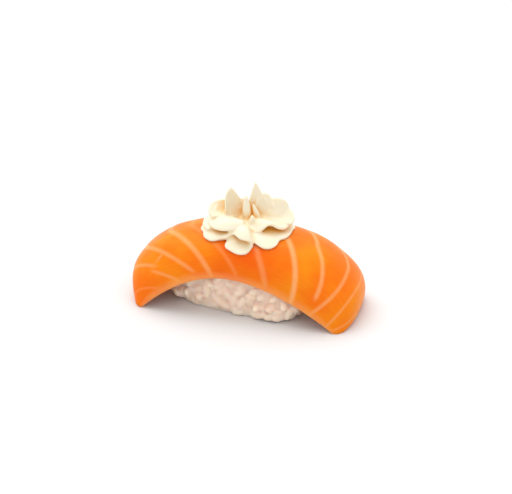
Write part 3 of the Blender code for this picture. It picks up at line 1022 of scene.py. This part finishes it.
@dataclass(frozen=True)
class Ruffle:
    """A frill of piped cream: a ribbon from near the rosette's axis out to a waving rim.

    Each station of the rim is an azimuth about the axis in degrees, a distance from it, a height above
    the crest, and how far the ribbon bellies up on its way out there. Gather 1 brings the ribbon's root
    to one place, and 0 spreads it as far round as the rim.
    """

    stations: tuple[tuple[float, float, float, float], ...]
    root: float
    root_height: float
    thickness: float
    gather: float = 0.0

    def middle(self, along: np.ndarray, out: np.ndarray) -> np.ndarray:
        """The middle of the ribbon.

        Args:
            along: Shares of the rim's length.
            out: Shares of the way from the root to the rim.

        Returns:
            Rows of x, y and z in millimetres.
        """
        azimuth, reach, height, belly = smooth_path(self.stations, along).T
        centre = sum(station[0] for station in self.stations) / len(self.stations)
        root_azimuth = np.radians(centre + (azimuth - centre) * (1 - self.gather))
        azimuth = np.radians(azimuth)
        rim = np.stack([reach * np.cos(azimuth), reach * np.sin(azimuth), height], axis=-1)
        root = np.stack(
            [
                self.root * np.cos(root_azimuth),
                self.root * np.sin(root_azimuth),
                np.full_like(height, self.root_height),
            ],
            axis=-1,
        )
        knee = (root + rim) / 2 + np.stack([np.zeros_like(belly), np.zeros_like(belly), 2 * belly], axis=-1)
        share = out[:, None]
        place = root * (1 - share) ** 2 + 2 * knee * share * (1 - share) + rim * share**2
        return place

    def add_to(self, shape: bmesh.types.BMesh, centre: Vector) -> None:
        """Adds the ribbon as a block bent along its middle, with rounded edges.

        Args:
            shape: The bmesh that takes it.
            centre: The rosette's middle on the crest, in millimetres.
        """
        mesh = unit_block("ruffle", (8 * len(self.stations), 16, 4))
        along, out, through = points_of(mesh).T
        rounding = 1 - np.sqrt(1 - np.clip(through**2, 0, 1))
        blunt = self.thickness / 26
        out = (out * (1 - blunt * rounding) + 1) / 2
        along = (along * (1 - 0.3 * blunt * rounding) + 1) / 2
        step = 0.004
        clear_out, clear_along = np.clip(out, step, 1 - step), np.clip(along, step, 1 - step)
        outward = self.middle(clear_along, clear_out + step) - self.middle(clear_along, clear_out - step)
        onward = self.middle(clear_along + step, clear_out) - self.middle(clear_along - step, clear_out)
        normals = np.cross(outward, onward)
        normals /= np.linalg.norm(normals, axis=-1, keepdims=True) + 1e-9
        wall = self.thickness * (1 - 0.35 * out) / 2 * np.sin(through * math.pi / 2)
        places = self.middle(along, out) + normals * wall[:, None] + np.array(centre)
        move_points(mesh, places * MM)
        shape.from_mesh(mesh)
        bpy.data.meshes.remove(mesh)


SKIRT = Ruffle(
    (
        (-60, 8.8, -0.9, 0.6), (-56, 10.6, -1.4, 0.8), (-48, 12.6, -2.2, 1.0), (-40, 13.6, -2.3, 1.0),
        (-31, 14.1, -1.7, 0.8), (-20, 13.5, -0.8, 0.5), (-12, 14.4, -0.7, 0.5), (0, 14.9, -0.6, 0.5),
        (14, 15.4, -0.5, 0.5), (24, 16.3, -0.9, 0.6), (36, 14.6, -0.8, 0.6), (50, 14.8, -1.2, 0.6),
        (64, 13.0, -1.2, 0.6), (80, 13.4, -1.6, 0.6), (96, 12.2, -1.4, 0.6), (112, 13.2, -1.5, 0.6),
        (128, 12.8, -1.2, 0.6), (144, 14.4, -1.2, 0.6), (158, 14.2, -0.6, 0.5), (172, 16.2, -0.9, 0.5),
        (184, 15.4, -0.6, 0.5), (194, 15.6, -0.7, 0.5), (202, 14.8, -0.8, 0.5), (210, 15.0, -1.4, 0.6),
        (218, 14.3, -1.8, 0.7), (224, 13.3, -1.9, 0.7), (230, 11.6, -1.4, 0.6), (236, 9.8, -0.8, 0.5),
    ),
    root=4.0,
    root_height=1.4,
    thickness=1.7,
)
FRONT_ROLL = Ruffle(
    (
        (-176, 14.6, 0.1, 0.2), (-163, 13.6, -0.3, 0.3), (-150, 12.9, -0.9, 0.4), (-140, 12.4, -1.4, 0.5),
        (-130, 11.2, -1.3, 0.6), (-120, 9.9, -0.8, 0.8), (-112, 9.0, 0.3, 1.0),
    ),
    root=6.5,
    root_height=-0.2,
    thickness=3.0,
)
FRONT_CUP = Ruffle(
    (
        (-126, 10.4, -0.7, 0.4), (-119, 9.6, -0.2, 0.8), (-112, 8.9, 0.7, 1.2), (-102, 8.9, 1.1, 1.6),
        (-93, 9.8, 1.0, 1.8), (-86, 10.7, 0.7, 1.9), (-78, 10.9, 0.5, 1.9), (-71, 10.7, 0.0, 1.8),
        (-66, 10.4, -1.0, 1.2), (-65, 10.4, -2.5, 0.4), (-69, 11.0, -3.4, 0.0), (-76, 11.9, -3.9, -0.3),
        (-85, 12.1, -4.1, -0.4), (-95, 11.9, -3.9, -0.3), (-104, 11.7, -3.4, -0.1), (-112, 11.7, -2.9, 0.0),
        (-117, 10.4, -2.2, 0.0), (-119, 9.2, -1.4, 0.0),
    ),
    root=3.6,
    root_height=2.0,
    thickness=1.7,
    gather=0.55,
)
SECOND_TIER = Ruffle(
    (
        (-92, 3.9, 4.0, 0.3), (-71, 4.9, 3.0, 0.2), (-56, 6.9, 1.6, 0.1), (-45, 8.2, 1.6, 0.3),
        (-36, 9.0, 2.9, 0.6), (-28, 9.9, 4.1, 0.8), (-20, 11.2, 4.0, 0.8), (-14, 12.6, 2.9, 0.6),
        (-4, 13.6, 2.0, 0.4), (10, 14.6, 2.4, 0.3), (26, 15.2, 3.4, 0.3), (42, 13.6, 2.2, 0.3),
        (58, 13.6, 3.4, 0.3), (74, 12.0, 2.0, 0.3), (90, 12.4, 3.2, 0.3), (106, 11.6, 2.0, 0.3),
        (124, 12.6, 3.2, 0.3), (140, 12.0, 1.8, 0.3), (156, 13.4, 2.8, 0.3), (172, 13.8, 2.4, 0.3),
        (188, 14.8, 2.0, 0.3), (200, 14.4, 1.2, 0.3), (210, 13.6, 0.6, 0.3),
    ),
    root=3.2,
    root_height=3.4,
    thickness=1.7,
)
LEFT_LOBE = Ruffle(
    (
        (188, 12.4, 3.0, 1.0), (198, 12.9, 2.5, 1.2), (208, 12.6, 2.1, 1.4), (218, 12.1, 1.9, 1.6),
        (228, 11.2, 1.9, 1.6), (238, 10.0, 2.0, 1.5), (250, 8.6, 2.3, 1.3), (262, 7.2, 2.8, 1.0),
        (276, 6.0, 3.4, 0.6),
    ),
    root=4.6,
    root_height=3.8,
    thickness=2.2,
    gather=0.15,
)
LEFT_SHELL = Ruffle(
    (
        (206, 11.8, 4.6, 0.0), (199, 12.8, 6.0, -0.3), (192, 12.9, 7.6, -0.6), (185, 12.0, 8.7, -0.8),
        (179, 10.3, 9.2, -0.8), (172, 8.6, 9.2, -0.6), (164, 7.2, 8.6, -0.3),
    ),
    root=5.6,
    root_height=4.6,
    thickness=2.2,
    gather=0.55,
)
RIGHT_CURL = Ruffle(
    (
        (36, 11.4, 8.0, -0.2), (28, 12.5, 7.8, -0.4), (21, 14.0, 7.2, -0.5), (15, 15.3, 6.0, -0.6),
        (9, 16.0, 4.4, -0.5), (3, 15.4, 2.8, -0.3),
    ),
    root=7.5,
    root_height=3.4,
    thickness=1.8,
    gather=0.3,
)
CROWN = (
    Petal(190, 4.0, 2.4, 12.8, 9.4, 1.9, (40, -26), 5.4, point=0.62, turn=-50, sweep=0.8),
    Petal(-75, 1.0, 1.4, 11.3, 3.3, 2.9, (0, 0), 0.0, point=0.35, sweep=-0.4),
    Petal(38, 3.9, 3.2, 13.3, 7.4, 2.0, (16, -10), 3.0, point=0.95, turn=72, sweep=0.8),
    Petal(28, 5.4, 3.0, 9.3, 7.6, 2.0, (16, 0), 2.4, point=0.3, turn=75, sweep=-0.8),
    Petal(10, 7.6, 1.4, 10.0, 11.4, 2.2, (30, 4), -2.2, point=0.1, turn=80, sweep=-2.0),
    Petal(178, 6.0, 2.8, 6.2, 9.0, 2.2, (14, 26), 2.0, turn=-56, sweep=2.4),
    Petal(-49, 3.9, 1.4, 5.2, 4.4, 1.9, (6, 0), -0.6, point=0.7),
    Petal(0, 3.8, 2.0, 7.8, 3.0, 1.7, (4, 0), 0.8, point=0.7, turn=-80, sweep=-1.8),
    Petal(84, 4.8, 3.2, 5.4, 10.0, 2.0, (14, 20), 1.8, point=0.4),
    Petal(130, 4.8, 3.2, 5.6, 10.0, 2.0, (16, 26), 1.8, point=0.4),
)
LOBES = (SKIRT, FRONT_ROLL, FRONT_CUP, SECOND_TIER, LEFT_LOBE, LEFT_SHELL, RIGHT_CURL, *CROWN)


@dataclass
class CreamRosette:
    """The rosette of stiff cream, piped as petals in three tiers on the crest of the slice."""

    salmon: SalmonSlice
    offset: Vector = Vector((0.8, -1.0, -0.2))
    heart_radius: float = 5.6
    heart_height: float = 4.6
    run_together: float = 0.28
    gap: float = 0.15
    finish: PipedCreamFinish = PipedCreamFinish()

    def __post_init__(self) -> None:
        """Finds the rosette's middle on the crest."""
        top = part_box(Node.SALMON.value)[1].z / MM
        self.centre = self.salmon.crest + self.offset + Vector((0, 0, top))

    def build(self) -> bpy.types.Object:
        """Builds the rosette and dresses it."""
        shape = bmesh.new()
        for lobe in LOBES:
            lobe.add_to(shape, self.centre)
        heart = bmesh.ops.create_uvsphere(shape, u_segments=48, v_segments=24, radius=1.0)["verts"]
        size = Matrix.Diagonal((self.heart_radius, self.heart_radius, self.heart_height))
        for vertex in heart:
            vertex.co = (self.centre + size @ vertex.co) * MM
        piece = new_piece("cream_petals", mesh_of(shape, "cream_petals"))
        merge = piece.modifiers.new("run together", "REMESH")
        merge.mode = "VOXEL"
        merge.voxel_size = self.run_together * MM
        soften = piece.modifiers.new("soften", "SMOOTH")
        soften.factor = 0.5
        soften.iterations = 2
        freeze(piece)
        mould = self.salmon.block("mould", (110, 50, 1), self.salmon.thickness + 8, self.gap)[0]
        cut(piece, mould)
        seat(piece, Node.CREAM, self.finish.material())
        return piece


# ---------------------------------------------------------------- the studio


@dataclass
class Studio:
    """A plain white floor under soft overhead light, and the camera."""

    azimuth: float = 16.5
    elevation: float = 28.0
    distance: float = 550.0
    lens: float = 112.15
    aim_right: float = 2.83
    aim_up: float = 18.07
    floor_size: float = 6000.0
    sky: float = 1.08
    sun: float = 1.6
    sun_spread: float = 60.0
    sun_tilt: tuple[float, float] = (-14.0, -16.0)
    finish: WhiteBoardFinish = WhiteBoardFinish()

    def floor(self) -> None:
        """Lays the floor at the height that the object stands on."""
        shape = bmesh.new()
        bmesh.ops.create_grid(shape, x_segments=1, y_segments=1, size=self.floor_size / 2 * MM)
        floor = new_piece("studio_floor", mesh_of(shape, "studio_floor"))
        floor.data.materials.append(self.finish.material())

    def light(self) -> None:
        """Lights the scene from a white sky and a wide soft lamp overhead."""
        world = bpy.data.worlds.new("white_room")
        bpy.context.scene.world = world
        world.use_nodes = True
        world.node_tree.nodes["Background"].inputs["Color"].default_value = (1, 1, 1, 1)
        world.node_tree.nodes["Background"].inputs["Strength"].default_value = self.sky
        lamp = bpy.data.lights.new("overhead_softbox", "SUN")
        lamp.energy = self.sun
        lamp.angle = math.radians(self.sun_spread)
        holder = bpy.data.objects.new("overhead_softbox", lamp)
        bpy.context.scene.collection.objects.link(holder)
        holder.rotation_euler = Euler([math.radians(turn) for turn in (*self.sun_tilt, 0.0)])

    def camera(self) -> None:
        """Places the camera and aims it."""
        azimuth, elevation = math.radians(self.azimuth), math.radians(self.elevation)
        level = math.cos(elevation)
        back = Vector((math.sin(azimuth) * level, -math.cos(azimuth) * level, math.sin(elevation)))
        right = Vector((math.cos(azimuth), math.sin(azimuth), 0.0))
        target = right * self.aim_right + back.cross(right) * self.aim_up
        lens = bpy.data.cameras.new("camera")
        lens.lens = self.lens
        lens.sensor_width = 36.0
        lens.clip_start = 0.01
        holder = bpy.data.objects.new("camera", lens)
        bpy.context.scene.collection.objects.link(holder)
        holder.location = back * self.distance * MM
        aim = target * MM - holder.location
        holder.rotation_euler = aim.to_track_quat("-Z", "Y").to_euler()
        bpy.context.scene.camera = holder

    def build(self) -> None:
        """Builds the floor, the light and the camera."""
        self.floor()
        self.light()
        self.camera()
        bpy.context.scene.view_settings.view_transform = "Standard"


def main() -> None:
    """Builds the pieces in order."""
    logging.basicConfig(level=logging.INFO, format="%(name)s: %(message)s")
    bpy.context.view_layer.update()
    Studio().build()
    salmon = SalmonSlice()
    salmon.build()
    RiceMound(salmon).build()
    CreamRosette(salmon).build()


if __name__ == "__main__":
    main()
